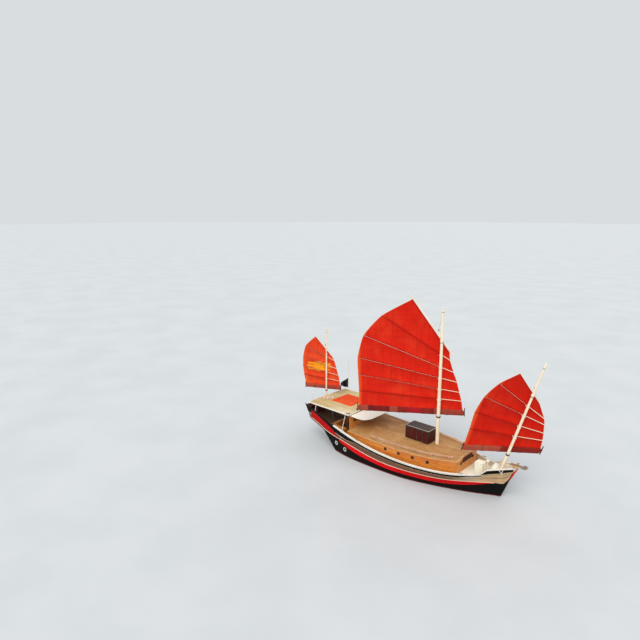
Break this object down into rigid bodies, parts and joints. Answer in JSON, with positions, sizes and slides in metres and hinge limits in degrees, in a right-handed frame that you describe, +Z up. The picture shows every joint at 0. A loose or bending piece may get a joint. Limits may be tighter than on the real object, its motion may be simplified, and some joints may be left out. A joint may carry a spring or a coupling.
{
  "type": "chinese junk ship",
  "caption": "Wooden sailing junk afloat: battened sails on swinging booms, long deckhouse with hatch, covered after deck, helm with rudder, propeller, doors and lockers.",
  "frame": {"origin": "on the centreline at the still waterline, 7 m aft of where the stem meets the water", "axes": "+X towards the bow, +Y to port, +Z up"},
  "size_m": [21.5622, 6.4591, 15.3991],
  "materials": {
    "black_paint": "painted, satin",
    "red_paint": "painted, gloss",
    "white_paint": "painted, satin",
    "cream_paint": "painted, satin",
    "maroon_paint": "painted, satin",
    "varnished_wood": "varnished",
    "deck_planks": "bare, weathered",
    "dark_wood": "oiled",
    "orange_cloth": "woven",
    "white_cloth": "woven",
    "black_cloth": "woven",
    "maroon_cloth": "woven",
    "red_cloth": "woven",
    "steel_tube": "brushed",
    "galvanised_iron": "galvanised",
    "bronze": "cast"
  },
  "bodies": {
    "ship": {"hull": "black_paint", "keel": "black_paint", "wale_starboard": "red_paint", "wale_port": "red_paint", "bulwark_starboard": "black_paint", "bulwark_port": "black_paint", "bow_bulwark": "black_paint", "cap_rail": "white_paint", "bow_board": "maroon_paint", "wing_panel_starboard": "red_paint", "wing_panel_port": "red_paint", "poop_deck": "deck_planks", "stern_board": "maroon_paint", "house_side_starboard": "varnished_wood", "house_side_port": "varnished_wood", "house_front": "varnished_wood", "house_deck": "deck_planks", "cabin_bulkhead": "varnished_wood", "roof": "cream_paint", "roof_frame": "dark_wood", "roof_pad": "orange_cloth", "awning": "white_cloth", "awning_hoop": "steel_tube", "stern_rail": "white_paint", "flagstaff": "white_paint", "flag": "black_cloth", "cockpit_bench": "varnished_wood", "helm_pedestal": "varnished_wood", "deck_locker": "maroon_paint", "foredeck_locker": "cream_paint", "windlass_cover": "white_cloth", "bow_platform": "deck_planks", "anchor": "galvanised_iron", "main_mast": "white_paint", "fore_mast": "white_paint", "mizzen_mast": "white_paint"},
    "main_rig": {"main_boom": "dark_wood", "main_foot_cover": "maroon_cloth", "main_sail": "red_cloth", "main_battens": "cream_paint", "main_yard": "white_paint"},
    "fore_rig": {"fore_boom": "dark_wood", "fore_foot_cover": "maroon_cloth", "fore_sail": "red_cloth", "fore_battens": "cream_paint", "fore_yard": "white_paint"},
    "mizzen_rig": {"mizzen_boom": "dark_wood", "mizzen_foot_cover": "maroon_cloth", "mizzen_sail": "red_cloth", "mizzen_battens": "cream_paint", "mizzen_yard": "white_paint"},
    "rudder_blade": {"rudder": "maroon_paint"},
    "steering_wheel": {"helm_wheel": "varnished_wood"},
    "screw": {"propeller": "bronze"},
    "starboard_door": {"companion_door_starboard": "varnished_wood"},
    "port_door": {"companion_door_port": "varnished_wood"},
    "hatch_board": {"front_hatch": "maroon_paint"},
    "locker_lid": {"deck_locker_lid": "black_paint"},
    "fore_locker_lid": {"foredeck_locker_lid": "cream_paint"}
  },
  "joints": [
    {"name": "main_swing", "type": "hinge", "parent": "ship", "child": "main_rig", "pos_m": [1.68, 0, 4.56], "axis": [0, 0, 1], "range_deg": [-115, 45]},
    {"name": "fore_swing", "type": "hinge", "parent": "ship", "child": "fore_rig", "pos_m": [7.04, 0, 2.51], "axis": [0.2857, 0, 0.9583], "range_deg": [-115, 45]},
    {"name": "mizzen_swing", "type": "hinge", "parent": "ship", "child": "mizzen_rig", "pos_m": [-10, 0, 3.9], "axis": [0, 0, 1], "range_deg": [-107, 53]},
    {"name": "helm_turn", "type": "hinge", "parent": "ship", "child": "steering_wheel", "pos_m": [-6.472, 0, 2.33], "axis": [1, 0, 0], "range_deg": [-350, 350]},
    {"name": "rudder_turn", "type": "hinge", "parent": "ship", "child": "rudder_blade", "pos_m": [-7.18, 0, 0], "axis": [0, 0, 1], "range_deg": [-35, 35]},
    {"name": "propeller_spin", "type": "hinge", "parent": "ship", "child": "screw", "pos_m": [-6.5, 0, -0.9], "axis": [1, 0, 0], "continuous": true},
    {"name": "starboard_door_hinge", "type": "hinge", "parent": "ship", "child": "starboard_door", "pos_m": [-5.188, -0.432, 2.88], "axis": [0, 0, 1], "range_deg": [-110, 0]},
    {"name": "port_door_hinge", "type": "hinge", "parent": "ship", "child": "port_door", "pos_m": [-5.188, 0.432, 2.88], "axis": [0, 0, 1], "range_deg": [0, 110]},
    {"name": "hatch_hinge", "type": "hinge", "parent": "ship", "child": "hatch_board", "pos_m": [4.259, 0, 1.9], "axis": [0, 1, 0], "range_deg": [0, 95]},
    {"name": "locker_lid_hinge", "type": "hinge", "parent": "ship", "child": "locker_lid", "pos_m": [0.2, 0.6, 3.3414], "axis": [-1, 0, 0], "range_deg": [0, 100]},
    {"name": "fore_locker_lid_hinge", "type": "hinge", "parent": "ship", "child": "fore_locker_lid", "pos_m": [5.9, -0.615, 2.3904], "axis": [0, 1, 0], "range_deg": [0, 95]}
  ],
  "couplings": [
    {"joint": "rudder_turn", "follows": "helm_turn", "ratio": 0.1}
  ]
}
